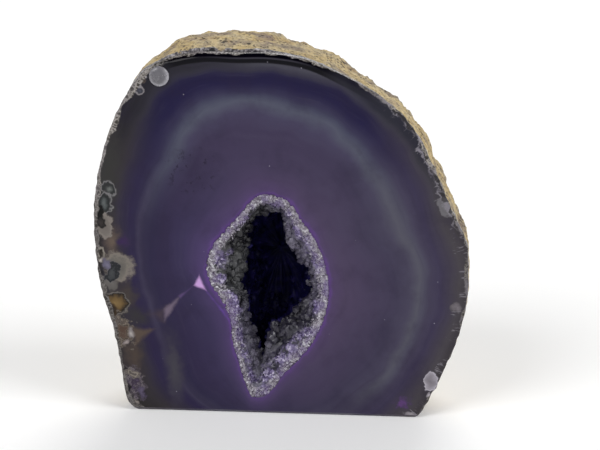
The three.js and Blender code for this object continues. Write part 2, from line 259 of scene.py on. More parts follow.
def rind_height(points):
    """How far the rough rind stands out: lumps with ledges, knobs, pits, then grain and small pocks."""
    lump = waves(points, LUMP_LENGTH)
    ledge = lump + np.sin(2 * math.pi * lump) / (2 * math.pi)
    pit = np.maximum(0, waves(points, PIT_LENGTH) - PIT_THRESHOLD)
    pock = np.maximum(0, waves(points, POCK_LENGTH) - POCK_THRESHOLD)
    grain = np.abs(waves(points, GRAIN_LENGTH)) - GRAIN_MEAN
    height = (
        LUMP_HEIGHT * ledge + KNOB_HEIGHT * waves(points, KNOB_LENGTH) - PIT_DEPTH * pit
        - POCK_DEPTH * pock + GRAIN_HEIGHT * grain + FINE_HEIGHT * waves(points, FINE_LENGTH)
    )
    return height * lerp(CALM_FRONT, 1.0, ease(points[..., 1], CALM_UNTIL, ROUGH_FROM))


ANGLES = (np.arange(DIRECTIONS) + 0.5) / DIRECTIONS * 2 * math.pi - math.pi
TURNS = turns_of(ANGLES)
RIM_LENGTH = lengths_toward(closed_outline(RIM), FACE_CENTRE, ANGLES)
HOLLOW_OUTLINE = closed_outline(HOLLOW)
HOLLOW_LENGTH = lengths_toward(HOLLOW_OUTLINE, FACE_CENTRE, ANGLES)
BAND_LENGTH = lengths_toward(closed_outline(BAND), FACE_CENTRE, ANGLES)
OPENING_LENGTH = lengths_toward(closed_outline(OPENING), FACE_CENTRE, ANGLES)


def toward(table, angles):
    """Lengths in the given directions, from a table with one length for each of ANGLES."""
    return np.interp(angles, ANGLES, table, period=2 * math.pi)


def swell_toward(angles):
    """How far the nodule swells in each direction, eased from row to row of the table."""
    degrees = np.degrees(angles)
    rows = np.array(SWELL, dtype=float)
    index = np.clip(np.searchsorted(rows[:, 0], degrees), 1, len(rows) - 1)
    low, high = rows[index - 1], rows[index]
    return lerp(low[:, 1], high[:, 1], ease(degrees, low[:, 0], high[:, 0]))


def top_share(angles):
    """1 in the directions of the stone's top, 0 at its sides."""
    degrees = np.degrees(angles)
    rise = ease(degrees, BEVEL_FROM - BEVEL_FADE, BEVEL_FROM + BEVEL_FADE)
    fall = ease(degrees, BEVEL_TO - BEVEL_FADE, BEVEL_TO)
    return rise * (1 - fall)


def on_face_plane(length, depth=0.0):
    """A ring of points at a length from the face's centre in every direction, at a depth."""
    ring = TURNS * length[:, None] + FACE_MIDDLE
    ring[:, 1] = depth
    return ring


def hollow_point(outline, depth, inset):
    """Points of the hollow's wall under points of its outline, at a depth, inside the wall by an inset."""
    part = np.clip(np.asarray(depth) / HOLLOW_DEPTH, 0, 1)
    factor = (1 - part**HOLLOW_EXPONENT) ** (1 / HOLLOW_EXPONENT)
    centre = HOLLOW_CENTRE + (HOLLOW_BACK - HOLLOW_CENTRE) * part[..., None]
    arm = outline - HOLLOW_CENTRE
    share = np.maximum(factor - inset / np.linalg.norm(arm, axis=-1), HOLLOW_LEAST)
    flat = centre + arm * share[..., None]
    own_depth = np.broadcast_to(part * (HOLLOW_DEPTH - inset), flat.shape[:-1])
    return np.stack([flat[..., 0], own_depth, flat[..., 1]], axis=-1)


def front_rings(bevel, chip):
    """Rings over the hollow's wall, from its back, the polished face and the face's rounded edge."""
    rim = RIM_LENGTH + chip
    edge = rim - bevel
    hollow_outline = FACE_CENTRE + TURNS[:, [0, 2]] * HOLLOW_LENGTH[:, None]
    rings = []
    for step in range(HOLLOW_RINGS):
        turn = (1 - (step + HOLLOW_FIRST_STEP) / HOLLOW_RINGS) * math.pi / 2
        depth = np.full(DIRECTIONS, HOLLOW_DEPTH * math.sin(turn))
        rings.append(hollow_point(hollow_outline, depth, 0.0))
    ragged = -HOLLOW_CHIP * np.abs(waves(TURNS * HOLLOW_LENGTH[:, None], HOLLOW_CHIP_LENGTH))
    for step in range(FACE_RINGS + 1):
        share = step / FACE_RINGS
        length = lerp(HOLLOW_LENGTH, edge, share) + ragged * max(0.0, 1 - share / CHIP_REACH)
        rings.append(on_face_plane(length))
    for step in range(1, BEVEL_RINGS + 1):
        turn = step / BEVEL_RINGS * math.pi / 2
        rings.append(on_face_plane(lerp(edge, rim, math.sin(turn)), bevel * (1 - math.cos(turn))))
    return rings


def wall_rings(bevel, chip, swell):
    """Rings over the rind from the face's edge to the widest depth."""
    rings = []
    for step in range(1, WALL_RINGS + 1):
        depth = lerp(bevel, WIDEST_DEPTH, step / WALL_RINGS)
        share = np.sin(np.clip(depth / WIDEST_DEPTH, 0, 1) * math.pi / 2)
        ring = on_face_plane(RIM_LENGTH + chip * (1 - share) + share * swell, depth)
        rough = ease(depth - bevel, RIND_START, RIND_FULL)
        rough = rough + QUICK_PART * ease(depth - bevel, RIND_START, QUICK_FULL) * (1 - share)
        rings.append(ring + TURNS * (rough * rind_height(ring))[:, None])
    return rings


def dome_rings(swell):
    """Rings over the rind from the widest depth to the dome's back, where the outline is rounder."""
    swollen = RIM_LENGTH + swell
    kernel = np.ones(2 * ROUNDING_REACH + 1) / (2 * ROUNDING_REACH + 1)
    round_length = np.convolve(np.tile(swollen, 3), kernel, "same")[DIRECTIONS:2 * DIRECTIONS]
    rings = []
    for step in range(1, DOME_RINGS + 1):
        turn = step / (DOME_RINGS + DOME_LAST_STEP) * math.pi / 2
        across = math.cos(turn) ** (2 / DOME_EXPONENT)
        depth = lerp(WIDEST_DEPTH, STONE_DEPTH, math.sin(turn) ** (2 / DOME_EXPONENT))
        back = float(ease(depth, WIDEST_DEPTH, STONE_DEPTH))
        centre = lerp(FACE_CENTRE, BACK_CENTRE, back)
        length = lerp(swollen, round_length, back) * across
        ring = TURNS * length[:, None] + np.array([centre[0], depth, centre[1]])
        out = unit(TURNS * across + np.array([0, 1 - across, 0]))
        rings.append(ring + out * rind_height(ring)[:, None])
    return rings


def tube_faces(count, around, tips):
    """Faces of a grid over a number of rings, with a fan at the last ring, or at both ends for two tips."""
    faces = []
    sides = [(i, (i + 1) % around) for i in range(around)]
    last = (count - 1) * around
    for low in range(0, last, around):
        high = low + around
        faces += [(low + i, low + j, high + j, high + i) for i, j in sides]
    for i, j in sides:
        faces += [(tip, j, i) for tip in tips[:-1]]
        faces.append((tips[-1], last + i, last + j))
    return faces


def closed_tube(rings):
    """A grid over rings of points, closed with fans round the middles of the first and the last one."""
    vertices = np.vstack([rings.reshape(-1, 3), rings[0].mean(axis=0), rings[-1].mean(axis=0)])
    return vertices, tube_faces(*rings.shape[:2], (len(vertices) - 2, len(vertices) - 1))


def mesh_object(name, vertices, faces, slots=0, smooth=True):
    """A mesh piece from places in millimetres, with the place kept as an attribute for the materials."""
    mesh = bpy.data.meshes.new(name)
    mesh.from_pydata(to_frame(vertices), [], faces)
    place = mesh.attributes.new("place", "FLOAT_VECTOR", "POINT")
    place.data.foreach_set("vector", np.asarray(vertices, dtype=np.float32).ravel())
    mesh.polygons.foreach_set("use_smooth", np.full(len(faces), smooth, dtype=bool))
    mesh.polygons.foreach_set("material_index", np.full(len(faces), slots, dtype=np.int32))
    mesh.update()
    piece = bpy.data.objects.new(name, mesh)
    bpy.context.collection.objects.link(piece)
    return piece


def add_values(piece, name, values):
    """Gives every vertex of a piece a number that its materials can read."""
    attribute = piece.data.attributes.new(name, "FLOAT", "POINT")
    attribute.data.foreach_set("value", values.astype(np.float32))


def add_face_values(piece):
    """Adds mm inside the rim and outside the hollow, the band number (0 at the hollow, 1 on the band's
    middle line, 2 at the rim), the share of the top edge, and mm along the rim."""
    place = np.empty(len(piece.data.vertices) * 3, dtype=np.float32)
    piece.data.attributes["place"].data.foreach_get("vector", place)
    arms = place.reshape(-1, 3).astype(float)[:, [0, 2]] - FACE_CENTRE
    angles = np.arctan2(arms[:, 1], arms[:, 0])
    length = np.hypot(*arms.T)
    rim, hollow, band = (toward(table, angles) for table in (RIM_LENGTH, HOLLOW_LENGTH, BAND_LENGTH))
    inner = (length - hollow) / np.maximum(band - hollow, 1)
    outer = 1 + (length - band) / np.maximum(rim - band, 1)
    add_values(piece, "rim_mm", rim - length)
    add_values(piece, "hollow_mm", length - hollow)
    add_values(piece, "band", np.where(inner < 1, inner, outer))
    add_values(piece, "top_edge", top_share(angles))
    add_values(piece, "along_rim", angles * RIM_LENGTH.mean())


FACE_SLOT, RIND_SLOT, SAWN_SLOT, WALL_SLOT = range(4)
CUT_TOLERANCE = 1e-7


def cut_flat(piece, point, normal):
    """Cuts off what lies beyond a plane, and closes the cut with one flat sawn face."""
    work = bmesh.new()
    work.from_mesh(piece.data)
    cut = bmesh.ops.bisect_plane(
        work, geom=work.verts[:] + work.edges[:] + work.faces[:], plane_co=point, plane_no=normal,
        clear_outer=True, dist=CUT_TOLERANCE,
    )
    edges = [e for e in cut["geom_cut"] if isinstance(e, bmesh.types.BMEdge)]
    made = bmesh.ops.triangle_fill(work, edges=edges, use_beauty=True, normal=normal)
    for face in made["geom"]:
        if isinstance(face, bmesh.types.BMFace):
            face.material_index = SAWN_SLOT
            face.smooth = False
    work.to_mesh(piece.data)
    work.free()


def stone_piece():
    """The stone as one closed mesh: a grid over the rings, cut at the base and along its front chamfer."""
    bevel = lerp(SIDE_BEVEL, TOP_BEVEL, top_share(ANGLES))
    chip = RIM_CHIP * waves(TURNS * RIM_LENGTH[:, None], CHIP_LENGTH) * (1 - top_share(ANGLES))
    swell = swell_toward(ANGLES)
    rings = front_rings(bevel, chip) + wall_rings(bevel, chip, swell) + dome_rings(swell)
    vertices, faces = closed_tube(np.array(rings))
    faces = [(first, *reversed(others)) for first, *others in faces]
    counts = np.array([HOLLOW_RINGS, FACE_RINGS + BEVEL_RINGS, WALL_RINGS + DOME_RINGS]) * DIRECTIONS
    grid_slots = np.repeat([WALL_SLOT, FACE_SLOT, RIND_SLOT], counts)
    fan_slots = np.tile([WALL_SLOT, RIND_SLOT], DIRECTIONS)
    piece = mesh_object("geode_stone", vertices, faces, np.concatenate([grid_slots, fan_slots]))
    cut_flat(piece, Vector((0, 0, 0)), Vector((0, 0, -1)))
    cut_flat(piece, Vector(to_frame([0, 0, BASE_CHAMFER])), Vector((0, -1, -1)))
    add_face_values(piece)
    return piece


def crystal_mesh(feet, axes, radii, lengths, rng):
    """Six-sided crystals with pointed ends, all in one list of vertices and faces."""
    count = len(feet)
    turn = rng.uniform(0, 2 * math.pi, count)
    helper = np.where(np.abs(axes[:, [2]]) < STEEP, [[0.0, 0.0, 1.0]], [[1.0, 0.0, 0.0]])
    side = unit(np.cross(axes, helper))
    other = np.cross(axes, side)
    around = turn[:, None] + np.arange(CRYSTAL_SIDES) * 2 * math.pi / CRYSTAL_SIDES
    uneven = rng.uniform(*CRYSTAL_UNEVEN, (count, CRYSTAL_SIDES))
    ring = (
        np.cos(around)[..., None] * side[:, None] + np.sin(around)[..., None] * other[:, None]
    ) * (radii[:, None] * uneven)[..., None]
    foot = feet[:, None] + ring
    shoulder = foot + (axes * (lengths * CRYSTAL_SHOULDER)[:, None])[:, None]
    tip_shift = side * (radii * rng.uniform(-TIP_SHIFT, TIP_SHIFT, count))[:, None]
    tip = feet + axes * lengths[:, None] + tip_shift
    vertices = np.concatenate([foot, shoulder, tip[:, None]], axis=1)
    faces = []
    for low in range(0, count * vertices.shape[1], vertices.shape[1]):
        high = low + CRYSTAL_SIDES
        for k in range(CRYSTAL_SIDES):
            n = (k + 1) % CRYSTAL_SIDES
            faces.append((low + k, low + n, high + n, high + k))
            faces.append((high + k, high + n, high + CRYSTAL_SIDES))
        faces.append(tuple(reversed(range(low, high))))
    return vertices.reshape(-1, 3), faces


def crust_surface(angles, steps):
    """The crust's inner surface: from step 0 at the cut rim down a lumpy slope to the dark opening at step
    1, then through a throat and along the deep wall to the back at step 2."""
    turns = turns_of(angles)
    hollow = toward(HOLLOW_LENGTH, angles)
    slope = np.clip(steps, 0, 1)
    length = lerp(hollow - CRUST_THICKNESS, toward(OPENING_LENGTH, angles), slope)
    near = turns * length[..., None] + FACE_MIDDLE
    near[..., 1] = SLOPE_START + SLOPE_DEPTH * slope**SLOPE_EXPONENT
    past = np.clip(steps - 1, 0, 1)
    outline = FACE_CENTRE + turns[..., [0, 2]] * hollow[..., None]
    deep = hollow_point(outline, lerp(SLOPE_START + SLOPE_DEPTH, HOLLOW_DEPTH, past), CRUST_THICKNESS)
    point = lerp(near, deep, ease(past, 0, THROAT)[..., None])
    bulge = SLOPE_LUMP * waves(point, SLOPE_LUMP_LENGTH) + SLOPE_KNOB * waves(point, SLOPE_KNOB_LENGTH)
    bulge = bulge * ease(steps, 0, PUSH_FULL)
    return point - (turns * SLOPE_PUSH + np.array([0, SLOPE_PUSH, 0])) * bulge[..., None]


def crust_lining():
    """The crust's solid part, closed at its front, and how far inward each of its points lies."""
    angles = np.arange(LINING_TURNS) / LINING_TURNS * 2 * math.pi
    outline = FACE_CENTRE + turns_of(angles)[:, [0, 2]] * toward(HOLLOW_LENGTH, angles)[:, None]
    depths = HOLLOW_DEPTH * np.sin(np.linspace(LINING_REACH, 0, LINING_OUTER) * math.pi / 2)
    slope_steps = np.linspace(0, 1, LINING_SLOPE, endpoint=False)
    deep_steps = 1 + np.linspace(0, 1, LINING_DEEP) ** DEEP_EXPONENT
    steps = np.concatenate([slope_steps, deep_steps])
    rings = [hollow_point(outline, np.full(LINING_TURNS, depth), CRUST_GAP) for depth in depths]
    rings += [crust_surface(angles, np.full(LINING_TURNS, step)) for step in steps]
    rings = np.array(rings)
    rings[..., 1] = np.maximum(rings[..., 1], CRUST_RECESS)
    inward = np.repeat(np.concatenate([np.full(LINING_OUTER, OUTER_INWARD), steps]), LINING_TURNS)
    return *closed_tube(rings), np.concatenate([inward, [OUTER_INWARD, BACK_INWARD]])


def spread_angles(rng, count):
    """Directions from the face's centre whose places are spread evenly along the hollow's outline."""
    arms = HOLLOW_OUTLINE[(rng.uniform(0, 1, count) * len(HOLLOW_OUTLINE)).astype(int)] - FACE_CENTRE
    return np.arctan2(arms[:, 1], arms[:, 0])


def rim_grains(rng):
    """Grains of the crust's cut rim, which lean inward near the slope."""
    angles = spread_angles(rng, RIM_GRAINS)
    insets = rng.uniform(0.0, CRUST_THICKNESS + GRAIN_PAST, RIM_GRAINS)
    turns = turns_of(angles)
    feet = turns * (toward(HOLLOW_LENGTH, angles) - insets)[:, None] + FACE_MIDDLE
    feet[:, 1] = CRUST_RECESS + GRAIN_FOOT + np.maximum(insets - CRUST_THICKNESS + GRAIN_DROP, 0)
    lean = turns * ease(insets, TILT_FROM, CRUST_THICKNESS)[:, None]
    axes = rng.normal(0, GRAIN_SPREAD, (RIM_GRAINS, 3)) - lean - np.array([0, GRAIN_FORWARD, 0])
    radii = rng.uniform(*GRAIN_RADII, RIM_GRAINS)
    lengths = rng.uniform(*GRAIN_LENGTHS, RIM_GRAINS)
    points, faces = crystal_mesh(feet, unit(axes), radii, lengths, rng)
    return points, faces, np.full(len(points), GRAIN_INWARD)


def wall_crystals(rng, count, low, high):
    """Crystals that stand on the crust's inner surface between two steps, larger further in."""
    angles = spread_angles(rng, count)
    steps = rng.uniform(low, high, count)
    feet = crust_surface(angles, steps)
    along = crust_surface(angles + NORMAL_STEP, steps) - feet
    normals = unit(np.cross(along, crust_surface(angles, steps + NORMAL_STEP) - feet))
    normals *= np.sign(np.sum(normals * (LOOKING_POINT - feet), axis=1))[:, None]
    axes = unit(normals + rng.normal(0, WALL_SPREAD, (count, 3)))
    radii = lerp(WALL_RADIUS_FRONT, WALL_RADIUS_BACK, ease(steps, 0, WALL_RADIUS_FULL))
    radii = radii * rng.uniform(*WALL_RADII, count)
    lengths = WALL_LEAST_LENGTH + radii * rng.uniform(*WALL_LENGTHS, count)
    points, faces = crystal_mesh(feet - normals * WALL_FOOT, axes, radii, lengths, rng)
    return points, faces, np.repeat(steps, len(points) // count)


def crust_piece():
    """The crust: its lining and thousands of small crystals, finest at the rim and larger in the depth."""
    rng = np.random.default_rng(CRYSTAL_SEED)
    parts = [
        crust_lining(), rim_grains(rng), wall_crystals(rng, SLOPE_CRYSTALS, *SLOPE_STEPS),
        wall_crystals(rng, DEEP_CRYSTALS, *DEEP_STEPS),
    ]
    faces = []
    start = 0
    for points, loops, _ in parts:
        faces += [tuple(v + start for v in loop) for loop in loops]
        start += len(points)
    vertices = np.vstack([points for points, _, _ in parts])
    vertices[:, 1] = np.maximum(vertices[:, 1], CRUST_RECESS)
    smooth = np.arange(len(faces)) < len(parts[0][1])
    inward = np.concatenate([values for _, _, values in parts])
    deep = [int(inward[face[0]] >= 1.0) for face in faces]
    piece = mesh_object("quartz_crust", vertices, faces, deep, smooth)
    add_values(piece, "inward", inward)
    return piece


def pad_piece():
    """The clear pad: a low round dome with a flat back."""
    profile = list(PAD_FOOT)
    for step in range(PAD_STEPS):
        turn = step / PAD_STEPS * math.pi / 2
        profile.append((PAD_RADIUS * math.cos(turn), PAD_EDGE + (PAD_HEIGHT - PAD_EDGE) * math.sin(turn)))
    turns = turns_of(np.arange(PAD_SEGMENTS) / PAD_SEGMENTS * 2 * math.pi)
    middle = np.array([PAD_CENTRE[0], -PAD_GAP, PAD_CENTRE[1]])
    rings = [middle + turns * radius - np.array([0, height, 0]) for radius, height in profile]
    vertices = np.vstack([*rings, middle - np.array([0, PAD_HEIGHT, 0])])
    faces = tube_faces(len(profile), PAD_SEGMENTS, [len(vertices) - 1])
    faces.append(tuple(reversed(range(PAD_SEGMENTS))))
    return mesh_object("clear_pad", vertices, faces)


def linear(colour):
    """A colour given as screen values 0 to 255, as the linear values that a shader takes."""
    values = []
    for part in colour:
        c = part / 255
        values.append(c / 12.92 if c <= 0.04045 else ((c + 0.055) / 1.055) ** 2.4)
    return (*values, 1.0)


class Wire:
    """What comes out of a node. Numbers can be added, multiplied and fitted."""

    def __init__(self, nodes, socket):
        self.nodes = nodes
        self.socket = socket

    def __add__(self, other):
        return self.nodes.math("ADD", self, other)

    def __sub__(self, other):
        return self.nodes.math("SUBTRACT", self, other)

    def __rsub__(self, other):
        return self.nodes.math("SUBTRACT", other, self)

    def __mul__(self, other):
        return self.nodes.math("MULTIPLY", self, other)

    def __abs__(self):
        return self.nodes.math("ABSOLUTE", self)

    def fit(self, low, high, start=0.0, end=1.0):
        """Maps the number from low..high to start..end, held at both ends and smooth between."""
        inputs = dict(enumerate((self, low, high, start, end)))
        return self.nodes.node("MapRange", inputs, interpolation_type="SMOOTHSTEP")


class Nodes:
    """Short ways to add and join the shader nodes of one material, and its colour so far."""

    def __init__(self, name):
        self.material = bpy.data.materials.new(name)
        self.material.use_nodes = True
        self.tree = self.material.node_tree
        self.colour = None

    def put(self, socket, value):
        """Joins a socket to what comes out of a node, or sets its constant."""
        if isinstance(value, Wire):
            self.tree.links.new(value.socket, socket)
        elif socket.type == "RGBA":
            socket.default_value = linear(value)
        else:
            socket.default_value = value

    def node(self, kind, inputs, output=0, **settings):
        """Adds a node, fills its inputs by name or number, and gives one of its outputs."""
        node = self.tree.nodes.new("ShaderNode" + kind)
        for key, value in settings.items():
            setattr(node, key, value)
        for key, value in inputs.items():
            self.put(node.inputs[key], value)
        return Wire(self, node.outputs[output])

    def attribute(self, name, output="Fac"):
        return self.node("Attribute", {}, output, attribute_name=name)

    def place(self):
        return self.attribute("place", "Vector")

    def axes(self):
        """The x, y and z of the place."""
        x = self.node("SeparateXYZ", {0: self.place()})
        return [Wire(self, socket) for socket in x.socket.node.outputs]

    def math(self, operation, *values):
        return self.node("Math", dict(enumerate(values)), operation=operation)

    def vector(self, operation, *values):
        output = "Value" if operation in ("LENGTH", "DOT_PRODUCT") else "Vector"
        return self.node("VectorMath", dict(enumerate(values)), output, operation=operation)

    def noise(self, length, detail=4, offset=(0, 0, 0), rough=0.55, distortion=0.0, at=None):
        """Noise from about 0 to 1, whose features are about the given length in mm."""
        return self.node("TexNoise", {
            "Vector": self.vector("ADD", at or self.place(), offset),
            "Scale": 1 / length,
            "Detail": detail,
            "Roughness": rough,
            "Distortion": distortion,
        }, "Fac")

    def warped(self, length, amount):
        """The place, pushed about by noise of a length, by up to half of an amount in mm."""
        push = self.node("TexNoise", {"Vector": self.place(), "Scale": 1 / length}, "Color")
        pushed = self.vector("MULTIPLY_ADD", push, (amount,) * 3, self.place())
        return self.vector("ADD", pushed, (-amount / 2,) * 3)

    def cells(self, length, feature="F1", output="Distance", at=None):
        inputs = {"Vector": at or self.place(), "Scale": 1 / length}
        return self.node("TexVoronoi", inputs, output, feature=feature)

    def ramp(self, value, *stops):
        """A colour ramp through stops, each a place and a colour."""
        ramp = self.node("ValToRGB", {0: value})
        elements = ramp.socket.node.color_ramp.elements
        elements.remove(elements[1])
        for index, (position, *colour) in enumerate(stops):
            element = elements.new(position) if index else elements[0]
            element.position = position
            element.color = linear(colour)
        return ramp

    def mix(self, share, a, b):
        return self.node("Mix", {0: share, 6: a, 7: b}, 2, data_type="RGBA")

    def lay(self, share, colour):
        """Lays a colour over the material's colour so far, as dense as its share."""
        self.colour = self.mix(share, self.colour, colour)

    def bump(self, height, distance_mm, strength=1.0):
        inputs = {"Strength": strength, "Distance": distance_mm / METRE, "Height": height}
        return self.node("Bump", inputs, "Normal")

    def set(self, **values):
        """Sets inputs of the shader, whose names' underscores stand for spaces, and gives the material."""
        if self.colour:
            values["Base_Color"] = self.colour
        for key, value in values.items():
            self.put(self.tree.nodes["Principled BSDF"].inputs[key.replace("_", " ")], value)
        return self.material


# Colours are screen values from 0 to 255. A ramp's stop is a place, then the three values of a colour.
# The agate's colours from the hollow to the rim, by band number
BANDS_RIGHT = [
    (0, 72, 60, 85), (0.35, 64, 55, 79), (0.7, 56, 51, 72), (0.86, 63, 59, 78), (0.98, 75, 74, 86),
    (1.1, 69, 67, 83), (1.22, 59, 54, 74), (1.42, 52, 46, 69), (1.62, 56, 51, 65), (1.8, 63, 59, 64),
    (2, 52, 48, 51),
]
BANDS_LEFT = [
    (0, 68, 55, 94), (0.35, 49, 42, 73), (0.7, 41, 34, 62), (0.88, 38, 33, 60), (0.99, 42, 37, 61),
    (1.09, 53, 48, 70), (1.18, 39, 33, 61), (1.28, 37, 30, 60), (1.42, 41, 36, 54), (1.58, 47, 43, 48),
    (1.8, 42, 39, 39), (2, 31, 29, 29),
]
BANDS_TOP = [
    (0, 70, 56, 84), (0.35, 60, 51, 76), (0.68, 55, 47, 72), (0.84, 61, 56, 80), (0.98, 73, 75, 91),
    (1.1, 59, 60, 80), (1.19, 46, 43, 69), (1.3, 34, 30, 61), (1.4, 23, 18, 55), (1.52, 20, 15, 51),
    (1.6, 26, 22, 53), (1.68, 46, 44, 59), (1.78, 62, 61, 71), (1.9, 62, 61, 69),
]
THIN_BAND = (70, 66, 86)
HALO = (88, 57, 124)
SPECKLE = (30, 24, 42)
PALE_DUST = (150, 146, 158)
DARK_CLOUD = (30, 22, 46)
DARK_OUTER = (20, 18, 28)
DARK_SHOULDER = (28, 29, 40)
LOW_BAND = (48, 42, 64)
RIM_NET = [
    (0, 152, 147, 144), (0.08, 126, 121, 118), (0.16, 84, 80, 76), (0.3, 56, 53, 50), (0.5, 42, 40, 38),
]
RIM_GREY = (100, 95, 92)
RIM_DARK = (44, 41, 42)
RIM_SILVER = (138, 133, 142)
THREAD_GREY = (120, 116, 124)
BLACK_EDGE = (3, 2, 9)
# A painted highlight: the thin grey streak along the rounded top edge
BEVEL_HIGHLIGHT_GREY = (56, 54, 62)

# The other surfaces' colours
RIND = [
    (0.3, 126, 112, 102), (0.42, 166, 150, 124), (0.5, 208, 188, 144), (0.58, 198, 174, 122),
    (0.68, 152, 136, 114), (0.78, 128, 113, 114),
]
RIND_SHADE, RIND_CREST, RUST = (100, 84, 67), (240, 226, 186), (178, 140, 76)
RIND_DYE, RIND_HOLE, RIND_PORE = (120, 98, 104), (38, 30, 26), (66, 54, 44)
RIM_QUARTZ = [(0.38, 28, 25, 31), (0.46, 88, 83, 87), (0.55, 142, 137, 140), (0.66, 214, 210, 214)]
SAWN = [
    (0, 60, 52, 76), (0.4, 66, 60, 80), (0.55, 84, 82, 96), (0.75, 52, 46, 70), (1, 72, 66, 74),
]
SAW_DUST = (160, 156, 168)
SUGAR = [
    (0, 98, 92, 104), (0.3, 140, 133, 144), (0.6, 168, 162, 172), (0.85, 198, 194, 202), (1, 240, 240, 244),
]
SUGAR_DYE = (116, 92, 156)
SLOPE_LEFT_HIGH = [(0.3, 42, 42, 48), (0.5, 68, 69, 72), (0.66, 98, 99, 98)]
SLOPE_LEFT_LOW = [(0.3, 62, 60, 74), (0.5, 98, 94, 112), (0.66, 130, 125, 144)]
SLOPE_RIGHT_HIGH = [(0.3, 52, 47, 70), (0.5, 91, 86, 105), (0.66, 134, 127, 150)]
SLOPE_RIGHT_LOW = [(0.3, 28, 26, 38), (0.5, 47, 44, 60), (0.66, 72, 68, 85)]
SPARKLE = [(0, 62, 50, 92), (0.5, 112, 98, 144), (0.8, 158, 144, 190), (1, 226, 218, 240)]
# Painted shade on the slope: under the upper left of the rim, and toward the dark opening
SLOPE_DARK, SLOPE_END_SHADE = (22, 21, 27), (24, 22, 34)
# The deep crystals' colours: partly their own dark violet, partly painted shade of the deep hollow
DEPTH = [(0.38, 6, 6, 30), (0.58, 18, 15, 56), (0.72, 46, 40, 92)]
WALL_DARK, WALL_PALE = (40, 28, 64), (70, 56, 96)
# The pad's colours; the last is a painted highlight on its rim
PAD_GREY, PAD_HAZE, PAD_RIM_HIGHLIGHT = (92, 90, 98), (136, 134, 140), (200, 198, 206)
FLOOR_WHITE = (250, 250, 250)

